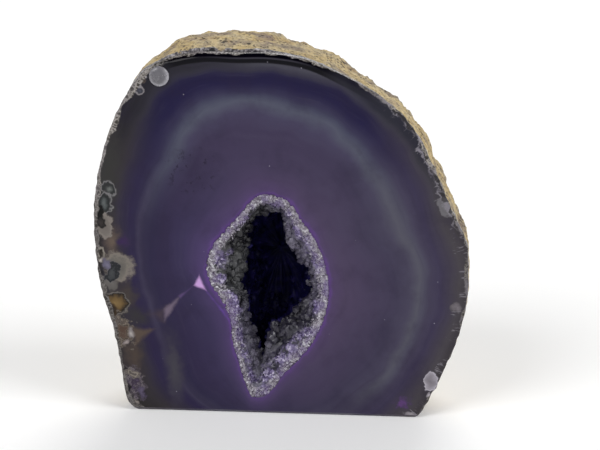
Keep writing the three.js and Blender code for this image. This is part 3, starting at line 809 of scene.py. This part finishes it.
# The inclusions in the polished face: middle x and z, half width, half height and turn in degrees, how
# ragged their outline is, how soft its edge is, and their colours from the middle to the edge
INCLUSIONS = {
    "olive_edge": (-70, 100, 6, 24, -8, 0.3, 0.7, (0, 46, 45, 44), (1, 46, 44, 46)),
    "brown_smear": (-69, 72.5, 4.6, 8, 0, 0.5, 0.7, (0, 88, 76, 68), (1, 56, 48, 52)),
    "violet_smear": (-64.6, 72.6, 3.2, 3.4, 0, 0.5, 0.7, (0, 50, 32, 72), (1, 44, 36, 60)),
    "brown_smear_low": (-63.6, 49.6, 5.6, 6, 0, 0.5, 0.8, (0, 60, 53, 50), (1, 50, 44, 48)),
    "grey_smear": (-59.6, 41, 6.5, 4.6, -20, 0.5, 0.8, (0, 46, 44, 47), (1, 43, 38, 50)),
    "brown_low": (-61.5, 24, 5.5, 10, 10, 0.5, 0.7, (0, 68, 58, 52), (1, 50, 44, 48)),
    "grey_column": (-44.6, 18, 4.6, 19, 4, 0.3, 0.8, (0, 62, 60, 68), (1, 48, 43, 60)),
    "eye_top": (
        -69.6, 94.2, 3.4, 3.8, 20, 0.3, 0.1, (0, 96, 98, 96), (0.3, 66, 68, 68), (0.5, 40, 41, 42),
        (0.72, 42, 43, 44), (0.84, 110, 108, 110), (0.93, 70, 69, 70), (1, 54, 53, 54),
    ),
    "eye_low": (
        -71.6, 88.4, 3.7, 5, -10, 0.3, 0.1, (0, 84, 88, 88), (0.35, 62, 66, 67), (0.6, 36, 38, 39),
        (0.74, 40, 41, 42), (0.86, 110, 108, 110), (0.94, 68, 67, 68), (1, 52, 51, 52),
    ),
    "pocket": (
        -72.2, 79.4, 4, 6.2, 15, 0.5, 0.3, (0, 96, 90, 86), (0.6, 104, 98, 94), (0.84, 122, 115, 110),
        (1, 70, 64, 61),
    ),
    "pocket_dark": (
        -73.4, 80.4, 2.2, 2.9, -10, 0.6, 0.2, (0, 52, 46, 46), (0.5, 42, 38, 38), (0.8, 26, 24, 24),
        (1, 74, 70, 68),
    ),
    "notch": (-74.6, 84.9, 2.7, 2.8, 30, 0.5, 0.15, (0, 3, 3, 3), (1, 14, 13, 13)),
    "small_ring": (
        -73.8, 67.4, 2, 3.2, 0, 0.6, 0.15, (0, 44, 38, 34), (0.4, 26, 23, 22), (0.7, 128, 122, 114),
        (1, 74, 68, 66),
    ),
    "small_bright": (-73.6, 64.6, 1.3, 0.9, 20, 0.5, 0.3, (0, 196, 188, 182), (1, 104, 98, 96)),
    "cream_blob": (
        -66.8, 61.6, 7.6, 6.8, -35, 0.4, 0.4, (0, 84, 81, 78), (0.45, 96, 92, 87), (0.75, 118, 111, 104),
        (0.92, 94, 87, 81), (1, 66, 60, 57),
    ),
    "cream_foot": (-70.4, 55.2, 3.4, 4, 40, 0.5, 0.3, (0, 100, 97, 95), (1, 74, 70, 68)),
    "blob_left": (-71.4, 62.2, 2.8, 3.2, 0, 0.8, 0.4, (0, 104, 100, 120), (1, 76, 73, 88)),
    "blob_core": (
        -69.2, 59.2, 2.5, 5, -24, 1, 0.15, (0, 60, 62, 64), (0.4, 52, 54, 57), (0.65, 32, 33, 36),
        (0.85, 38, 39, 43), (1, 86, 84, 90),
    ),
    "blob_gap": (-73.4, 58.9, 1.2, 1.9, 10, 0.8, 0.2, (0, 16, 15, 18), (1, 44, 42, 48)),
    "oval": (
        -68.2, 46, 5.8, 6, 25, 0.28, 0.08, (0, 114, 93, 60), (0.45, 94, 75, 47), (0.66, 62, 50, 36),
        (0.76, 24, 20, 18), (0.86, 98, 93, 90), (0.94, 62, 58, 57), (1, 54, 50, 50),
    ),
    "oval_shade": (-70.6, 43.4, 2.6, 3.6, 40, 0.4, 0.4, (0, 26, 20, 16), (1, 60, 46, 32)),
    "cream_crystals": (
        -66, 34.4, 5.4, 7.2, 20, 1.1, 0.2, (0, 74, 58, 50), (0.3, 86, 74, 66), (0.45, 48, 40, 36),
        (0.62, 118, 109, 100), (0.76, 60, 50, 46), (0.9, 104, 97, 92), (1, 58, 52, 52),
    ),
    "cream_bright": (-62, 34, 1.8, 2.4, 25, 0.7, 0.3, (0, 160, 154, 152), (1, 92, 86, 88)),
    "cream_small": (-64, 29.8, 1.7, 1.3, 25, 0.7, 0.3, (0, 148, 138, 136), (1, 84, 76, 78)),
    "cluster": (
        -61.4, 12.2, 4.6, 7.6, 10, 1.1, 0.25, (0, 70, 60, 78), (0.25, 48, 40, 54), (0.4, 92, 84, 92),
        (0.55, 44, 36, 50), (0.7, 108, 101, 104), (0.82, 56, 48, 60), (0.92, 82, 76, 80), (1, 54, 49, 52),
    ),
    "cluster_top": (
        -62.6, 16, 4.4, 2, -12, 1.6, 0.3, (0, 78, 72, 70), (0.4, 126, 118, 110), (0.7, 72, 66, 64),
        (0.88, 118, 111, 106), (1, 62, 57, 58),
    ),
    "cluster_gap": (-64.4, 10, 1.5, 3, 5, 1, 0.3, (0, 12, 10, 12), (1, 40, 36, 40)),
    "cluster_violet": (-58.8, 7.8, 2.4, 2.6, 0, 1.2, 0.7, (0, 84, 76, 96), (1, 56, 48, 68)),
    "cluster_foot": (-61.6, 3.2, 3.2, 1.5, -20, 0.6, 0.3, (0, 146, 138, 130), (1, 84, 78, 78)),
    "patch": (
        61, 16, 3, 4.7, 0, 0.18, 0.1, (0, 112, 107, 114), (0.5, 124, 119, 127), (0.8, 142, 137, 146),
        (0.92, 166, 161, 170), (1, 84, 78, 88),
    ),
    "patch_low": (60.2, 9.4, 1.2, 2, 0, 0.4, 0.2, (0, 178, 172, 178), (1, 100, 95, 102)),
    "fuzz": (50, 6.7, 4.4, 2.8, 15, 1.6, 0.9, (0, 82, 56, 102), (1, 58, 48, 74)),
    "bit": (53.6, 1.8, 2.6, 1, 0, 0.5, 0.2, (0, 150, 144, 148), (1, 96, 92, 98)),
    "right_high": (54.8, 112, 3, 0.8, 8, 1.2, 0.5, (0, 120, 115, 128), (1, 70, 66, 76)),
    "right_second": (60, 103.6, 2.6, 1.6, 14, 1.4, 0.5, (0, 118, 113, 126), (1, 70, 66, 76)),
    "right_third": (63.8, 96.4, 2.6, 0.9, 14, 1.2, 0.5, (0, 132, 128, 140), (1, 74, 70, 80)),
    "grey_triangle": (
        65.4, 89.4, 3.5, 4.6, 30, 0.3, 0.3, (0, 104, 101, 106), (0.5, 92, 90, 94), (0.85, 100, 97, 102),
        (1, 58, 55, 58),
    ),
    "right_low": (72.6, 80.6, 1.4, 3.2, -15, 0.7, 0.4, (0, 132, 128, 138), (1, 76, 72, 80)),
    "right_chip": (70.6, 47.8, 2.6, 2.4, 0, 0.6, 0.4, (0, 112, 106, 112), (1, 72, 68, 72)),
    "white_spot": (-54.4, 141, 2, 1.2, -30, 0.4, 0.2, (0, 214, 210, 214), (1, 120, 116, 120)),
    "brown_pocket": (-55.2, 138.8, 1.9, 2, 0, 0.4, 0.2, (0, 34, 24, 20), (1, 74, 65, 62)),
    "loop": (
        -56.4, 134.6, 2.2, 2.6, 0, 0.4, 0.15, (0, 72, 72, 82), (0.5, 48, 48, 56), (0.8, 128, 124, 128),
        (1, 74, 70, 74),
    ),
}

# The wedges in the face: corners anticlockwise, how soft the edge is in mm, and the colour
WEDGES = {
    "brown_wedge": ([(-52.4, 35.6), (-62, 36.2), (-60.6, 28)], 1.8, (78, 66, 59)),
    "streak_shade": ([(-47, 46), (-55, 42), (-48, 38)], 2.6, (60, 50, 60)),
    "streak": ([(-41, 50.6), (-48.6, 44.6), (-48.2, 39.2), (-45.6, 42.6)], 1.3, (100, 88, 104)),
    "streak_tail": ([(-36.6, 54), (-42.4, 50), (-41.4, 49)], 0.9, (80, 62, 104)),
    "violet_line": ([(-21.5, 39.8), (-24, 44.4), (-30.6, 52.2), (-25.2, 44.6)], 1.4, (98, 66, 150)),
    "pink_wedge": ([(-33.6, 59), (-36, 54.6), (-30.8, 52.6)], 0.9, (184, 146, 200)),
}

# The area of dark speckles in the face: middle, half sizes and turn
SPECKLED = (-35.8, 102, 12, 11, 0)
BLACK_WIDTH = 3.9
# How far inside the rim the painted highlight on the rounded top edge lies, in mm
BEVEL_HIGHLIGHT_INSIDE = 1.9
LINE_INSIDE = 6.2


def convex_distance(n, corners):
    """How far a place on the face is outside a shape with straight sides, in mm."""
    furthest = None
    for (x, z), (next_x, next_z) in zip(corners, corners[1:] + corners[:1]):
        side = math.hypot(next_x - x, next_z - z)
        out_x, out_z = (next_z - z) / side, (x - next_x) / side
        distance = n.vector("DOT_PRODUCT", n.place(), (out_x, 0, out_z)) - (out_x * x + out_z * z)
        furthest = distance if furthest is None else n.math("MAXIMUM", furthest, distance)
    return furthest


def local_place(n, place, spot):
    """Places on the face measured from a spot's middle, with its half sizes as units."""
    x, z, half_width, half_height, turn = spot
    return n.node("Mapping", {
        "Vector": place,
        "Location": (x, 0, z),
        "Rotation": (0, -math.radians(turn), 0),
        "Scale": (half_width, METRE, half_height),
    }, vector_type="TEXTURE")


def lay_inclusions(n):
    """Lays the inclusions and the wedges over the colour of the face."""
    wobble = (n.noise(2.8, 5, (17, 3, 8), 0.65) - 0.5) * 2.2
    bent_place = n.warped(4.5, 4.5)
    for row in INCLUSIONS.values():
        spot, (ragged, soft, *stops) = row[:5], row[5:]
        distance = wobble * ragged + n.vector("LENGTH", local_place(n, bent_place, spot))
        n.lay(distance.fit(1 - soft, 1 + soft * 0.4, 1, 0), n.ramp(distance, *stops))
    for corners, soft, tint in WEDGES.values():
        outside = wobble * (soft * 0.5) + convex_distance(n, corners)
        n.lay(outside.fit(-soft, soft * 0.5, 1, 0), tint)


def lay_bands(n):
    """The agate's banded colours, which differ at the left, the right and the top, and the dye's halo."""
    x, _, z = n.axes()
    small = n.noise(6, 4, (40, 0, 9)) - 0.5
    band = n.attribute("band") + (n.noise(30, 2) - 0.5) * 0.4 + small * 0.07
    half = band * 0.5
    left, right, top = (
        n.ramp(half, *((position / 2, *colour) for position, *colour in stops))
        for stops in (BANDS_LEFT, BANDS_RIGHT, BANDS_TOP)
    )
    n.colour = n.mix(x.fit(-45, 30), left, right)
    n.lay(z.fit(70, 128) * x.fit(-68, -44) * x.fit(30, 54, 1, 0.25), top)
    n.lay(band.fit(1.58, 1.8) * x.fit(-36, 2, 0.8, 0) * z.fit(95, 128), DARK_OUTER)
    n.lay(band.fit(1.64, 1.82) * x.fit(14, 32) * z.fit(80, 122, 0, 0.9), DARK_SHOULDER)
    near_band = band.fit(0.75, 0.9) * band.fit(1.15, 1.35, 1, 0)
    n.lay(z.fit(2, 17, 0.75, 0) * x.fit(4, 16) * near_band, LOW_BAND)
    # Soft thin bands that run with the others and fade along their way, and dark clouds
    thin_place = n.node("CombineXYZ", {0: band * 9, 1: x * 0.03, 2: z * 0.03})
    thin = n.noise(1, 3, at=thin_place)
    n.lay(thin.fit(0.5, 0.8, 0, 0.18), THIN_BAND)
    n.lay(thin.fit(0.2, 0.5, 0.2, 0), DARK_CLOUD)
    n.lay(n.noise(12, 5, (3, 7, 2), 0.6).fit(0.42, 0.8, 0, 0.35), DARK_CLOUD)
    # The dye's halo round the hollow, wide and faint, then narrow and strong
    ragged = small * 5 + n.attribute("hollow_mm")
    n.lay(ragged.fit(0, 7, 0.12, 0), HALO)
    n.lay(ragged.fit(0, 1.8, 0.55, 0) * z.fit(6, 30, 0.45, 1), HALO)
    # Dark speckles in the upper left
    off_middle = n.vector("LENGTH", local_place(n, n.place(), SPECKLED))
    speckle = n.noise(2.4, 3, (6, 6, 6), 0.6)
    n.lay(speckle.fit(0.56, 0.66) * off_middle.fit(0.4, 1.2, 0.75, 0), SPECKLE)


def lay_rim(n):
    """The rim of the face: a net of pale lines round dark cells at the sides, a black edge at the top."""
    x, _, z = n.axes()
    rim = n.attribute("rim_mm")
    top_edge = n.attribute("top_edge")
    side = 1 - top_edge
    mottle = n.noise(3, 5, (11, 3, 5), 0.65)
    width = n.noise(15, 2, (1, 31, 5)).fit(0.35, 0.65, 1, 2.6) - x.fit(10, 40, 0, 1.1)
    in_rim = (rim + mottle * 2.4 - width).fit(0.9, 1.4, 1, 0)
    net = n.ramp(n.cells(1.6, "DISTANCE_TO_EDGE", at=n.warped(1.6, 2)), *RIM_NET)
    net = n.mix(mottle.fit(0.45, 0.66, 0, 0.8), net, RIM_GREY)
    silver = n.noise(9, 3, (31, 2, 5)).fit(0.5, 0.6) * x.fit(20, 50, 0.2, 0.7)
    net = n.mix(silver, net, RIM_SILVER)
    net = n.mix(z.fit(70, 115, 0.5, 0), net, RIM_DARK)
    # Pale threads that grow inward from the rim at the right
    polar = n.node("CombineXYZ", {0: n.attribute("along_rim"), 1: rim * 0.16})
    thread = n.noise(1, 3, rough=0.6, distortion=0.6, at=polar).fit(0.55, 0.68, 0, 0.75)
    reach = n.noise(7, 2, (6, 14, 2)).fit(0.38, 0.66, 0.6, 6)
    near = (rim - reach).fit(-1.5, 0.5, 1, 0)
    n.lay(thread * near * x.fit(30, 50) * side, THREAD_GREY)
    # A wavy pale line inside the upper right rim, with dark pockets between the two
    wave = n.noise(5.5, 5, (12, 6, 2), 0.65) * 9 + rim - LINE_INSIDE
    upper_right = z.fit(78, 86) * x.fit(36, 46)
    n.lay(wave.fit(-0.6, 0, 0.7, 0) * upper_right, RIM_DARK)
    line = abs(wave).fit(0.1, 0.7, 0.85, 0) * n.noise(3.5, 3, (2, 9, 14)).fit(0.4, 0.56, 0.15, 1)
    n.lay(line * upper_right, THREAD_GREY)
    n.lay(in_rim * side, net)
    # The black edge along the top, with a painted highlight in it, a thin grey streak along its rounded
    # edge, and grey quartz outside it
    black = rim.fit(BLACK_WIDTH - 0.4, BLACK_WIDTH + 0.2, 1, 0) * x.fit(14, 28, 1, 0.45)
    n.lay(black * top_edge, BLACK_EDGE)
    # Painted highlight: a thin grey streak on the rounded top edge
    streak = abs(rim - BEVEL_HIGHLIGHT_INSIDE).fit(0.1, 0.5, 0.8, 0) * x.fit(-42, -10) * x.fit(0, 18, 1, 0)
    n.lay(streak * top_edge, BEVEL_HIGHLIGHT_GREY)
    crown = n.noise(7, 4, (14, 4, 9), 0.65) * 4.5 - rim
    n.lay(crown.fit(1.5, 1.9) * top_edge, net)


def face_material():
    """The polished agate: bands, halo, inclusions, rim and edge, with some pale dust."""
    n = Nodes("polished_agate")
    lay_bands(n)
    lay_inclusions(n)
    lay_rim(n)
    n.lay(n.cells(9).fit(0.016, 0.036, 0.6, 0), PALE_DUST)
    ripple = n.noise(18, 2, (5, 1, 7))
    return n.set(
        Roughness=n.noise(50, 2, (9, 9, 9)).fit(0.3, 0.7, 0.08, 0.14),
        IOR=1.53,
        Specular_IOR_Level=0.12,
        Normal=n.bump(ripple, 0.05, 0.3),
    )


def rind_material():
    """The rough outside: a pale quartz edge next to the face, then tan, brown and grey rind with pits."""
    n = Nodes("rough_rind")
    x, y, z = n.axes()
    fine = n.noise(2.2, 6, (7, 1, 3), 0.7)
    n.colour = n.ramp(n.noise(13, 5, (2, 9, 4), 0.6), *RIND)
    n.lay(fine.fit(0.32, 0.5, 0.6, 0), RIND_SHADE)
    n.lay(fine.fit(0.54, 0.72, 0, 0.7), RIND_CREST)
    n.lay(n.noise(8, 4, (21, 5, 8), 0.6).fit(0.54, 0.68, 0, 0.55), RUST)
    n.lay(n.noise(10, 4, (1, 2, 30), 0.6).fit(0.55, 0.72, 0, 0.5), RIND_DYE)
    hole = fine * 0.3 + n.cells(5, at=n.warped(2.5, 2))
    n.lay(hole.fit(0.24, 0.33, 0.9, 0), RIND_HOLE)
    pore = n.cells(1.7) - n.noise(8, 3, (3, 8, 1)) * 0.5
    n.lay(pore.fit(-0.04, 0.06, 0.8, 0), RIND_PORE)
    # The quartz next to the face: pale grains, and gaps in which the black of the edge goes on
    top_edge = n.attribute("top_edge")
    deeper = n.math("MAXIMUM", z.fit(75, 100, 5, 0), x.fit(-60, -42, 4, 0))
    rim_depth = top_edge * (TOP_BEVEL - SIDE_BEVEL) + deeper
    edge = y - rim_depth - n.noise(5, 4, (8, 8, 8), 0.6) * 7
    n.lay(edge.fit(-2.2, -1.6, 1, 0), n.ramp(n.noise(1.4, 5, (2, 5, 5), 0.7), *RIM_QUARTZ))
    gap = n.noise(8, 3, (0, 4, 9)).fit(0.5, 0.56) * top_edge
    n.lay(edge.fit(-3.4, -2.9, 1, 0) * gap, BLACK_EDGE)
    height = n.noise(0.8, 5, rough=0.7) * 0.5 + fine
    height = height + hole.fit(0.2, 0.4, -0.6, 0) + pore.fit(-0.06, 0.1, -0.5, 0)
    return n.set(Roughness=edge.fit(-2.2, -1.6, 0.4, 0.85), Normal=n.bump(height, 1.5))


def sawn_material():
    """The sawn base: dull purple-grey agate with fine saw lines and dusty grain."""
    n = Nodes("sawn_base")
    grain = n.noise(1.2, 5, rough=0.7)
    n.colour = n.ramp(n.attribute("band") * 0.5 + n.noise(14) * 0.12, *SAWN)
    n.lay(grain.fit(0.5, 0.8, 0, 0.3), SAW_DUST)
    inputs = {"Vector": n.place(), "Scale": 0.4, "Distortion": 0.8}
    saw = n.node("TexWave", inputs, "Fac", wave_type="BANDS", bands_direction="Y")
    return n.set(Roughness=0.6, Normal=n.bump(saw + grain * 0.6, 0.15, 0.5))


def wall_material():
    """The stone's wall behind the crust, dark purple agate."""
    n = Nodes("hollow_wall")
    n.colour = n.mix(n.noise(4, 3).fit(0.3, 0.7), WALL_DARK, WALL_PALE)
    return n.set(Roughness=0.4)


def crystal_material():
    """Quartz with purple dye in its cracks, partly see-through: sugary white at the cut rim, olive grey at
    the left of the slope and violet at its right and low down."""
    n = Nodes("quartz_crystals")
    x, _, z = n.axes()
    inward = n.attribute("inward")
    lump = n.noise(5, 3, rough=0.6)
    dyed = n.noise(6, 4, (4, 4, 4))
    grain = n.node("SeparateColor", {0: n.cells(0.8, output="Color")})
    n.colour = n.ramp(grain, *SUGAR)
    n.lay(dyed.fit(0.42, 0.64, 0.05, 0.65), SUGAR_DYE)
    high = z.fit(40, 54)
    left = n.mix(high, n.ramp(lump, *SLOPE_LEFT_LOW), n.ramp(lump, *SLOPE_LEFT_HIGH))
    right = n.mix(high, n.ramp(lump, *SLOPE_RIGHT_LOW), n.ramp(lump, *SLOPE_RIGHT_HIGH))
    slope = n.mix(x.fit(-12, 0), left, right)
    # Violet sparkles in a second band, inside the sugary one, at the right and the lower left
    second = inward.fit(0.25, 0.5, 1, 0) * dyed.fit(0.44, 0.54)
    slope = n.mix(second, slope, n.ramp(grain, *SPARKLE))
    # The slope under the upper left of the rim lies in the dark
    slope = n.mix(z.fit(66, 72) * x.fit(-10, -6, 1, 0) * 0.95, slope, SLOPE_DARK)
    ragged = (lump - 0.5) * 0.5 + inward
    in_slope = ragged.fit(0, 0.08)
    n.lay(in_slope, slope)
    # Painted shade: the slope darkens as it goes down toward the dark opening
    n.lay(ragged.fit(0.6, 1, 0, 0.6), SLOPE_END_SHADE)
    return n.set(
        Roughness=in_slope * 0.2 + grain.fit(0, 1, 0.06, 0.3),
        IOR=1.54,
        Transmission_Weight=0.35,
    )


def depth_material():
    """The crystals in the hollow's depth, so dark a violet that they look black: partly their own colour,
    partly painted shade of the deep hollow.
    """
    n = Nodes("dark_crystals_and_shade")
    lump = n.noise(4, 3, (5, 2, 6), 0.6)
    n.colour = n.ramp(lump, *DEPTH)
    return n.set(Roughness=lump.fit(0.3, 0.7, 0.55, 0.35), Specular_IOR_Level=0.08)


def pad_material():
    """Clear soft plastic, slightly hazy, with a painted highlight: a bright rim, strongest at its lower
    right.
    """
    n = Nodes("clear_plastic")
    haze = n.noise(2.5, 3)
    own_place = local_place(n, n.place(), (*PAD_CENTRE, PAD_RADIUS, PAD_RADIUS, 0))
    in_rim = n.vector("LENGTH", own_place).fit(0.55, 1)
    lower_right = n.vector("DOT_PRODUCT", own_place, (0.6, 0, -0.8))
    n.colour = n.mix(haze, PAD_GREY, PAD_HAZE)
    # Painted highlight: a bright rim round the pad, strongest at its lower right
    n.lay(in_rim * lower_right.fit(-0.7, 0.9, 0.25, 1), PAD_RIM_HIGHLIGHT)
    return n.set(
        Roughness=haze.fit(0.3, 0.7, 0.16, 0.3),
        IOR=1.45,
        Transmission_Weight=0.4,
        Normal=n.bump(n.noise(3, 2), 0.1, 0.2),
    )


def make_stage():
    """A pale floor, and a sky that is dark overhead."""
    bpy.ops.mesh.primitive_plane_add(size=FLOOR_SIZE, location=(0, FLOOR_BACK, 0))
    floor = bpy.context.object
    floor.name = "floor"
    floor.data.materials.append(Nodes("pale_floor").set(Base_Color=FLOOR_WHITE, Roughness=0.9))
    world = bpy.data.worlds.new("studio")
    world.use_nodes = True
    bpy.context.scene.world = world
    tree = world.node_tree
    coordinate = tree.nodes.new("ShaderNodeTexCoord")
    split = tree.nodes.new("ShaderNodeSeparateXYZ")
    ramp = tree.nodes.new("ShaderNodeValToRGB")
    for element, (height, brightness) in zip(ramp.color_ramp.elements, (SKY_LOW, SKY_HIGH)):
        element.position = height
        element.color = (brightness, brightness, brightness, 1)
    tree.links.new(coordinate.outputs["Generated"], split.inputs[0])
    tree.links.new(split.outputs[2], ramp.inputs[0])
    tree.links.new(ramp.outputs[0], tree.nodes["Background"].inputs["Color"])
    tree.nodes["Background"].inputs["Strength"].default_value = SKY_STRENGTH


def aim(thing, direction):
    """Adds a lamp or a camera that looks in a direction."""
    thing.rotation_mode = "QUATERNION"
    thing.rotation_quaternion = direction.to_track_quat("-Z", "Y")
    bpy.context.collection.objects.link(thing)


def make_lamps():
    for name, (place, strength, breadth) in LAMPS.items():
        light = bpy.data.lights.new(name, "SUN")
        light.energy = strength
        light.angle = math.radians(breadth)
        lamp = bpy.data.objects.new(name, light)
        lamp.location = place
        aim(lamp, -lamp.location)


def make_camera():
    data = bpy.data.cameras.new("camera")
    data.lens = CAMERA_LENS
    data.sensor_width = SENSOR_WIDTH
    camera = bpy.data.objects.new("camera", data)
    turn, rise = math.radians(CAMERA_AZIMUTH), math.radians(CAMERA_ELEVATION)
    back = Vector((math.sin(turn) * math.cos(rise), -math.cos(turn) * math.cos(rise), math.sin(rise)))
    camera.location = Vector(to_frame(CAMERA_TARGET)) + back * (CAMERA_DISTANCE / METRE)
    aim(camera, -back)
    bpy.context.scene.camera = camera


make_camera()
make_stage()
make_lamps()
bpy.context.scene.view_settings.view_transform = "Standard"

stone = stone_piece()
for material in (face_material(), rind_material(), sawn_material(), wall_material()):
    stone.data.materials.append(material)
crust = crust_piece()
for material in (crystal_material(), depth_material()):
    crust.data.materials.append(material)
pad = pad_piece()
pad.data.materials.append(pad_material())

for piece, node, slot in (
    (stone, "stone", "agate_stone"),
    (crust, "crystal_crust", "quartz_crystal"),
    (pad, "bumper_pad", "clear_pad"),
):
    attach(piece, "root")
    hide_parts(node)
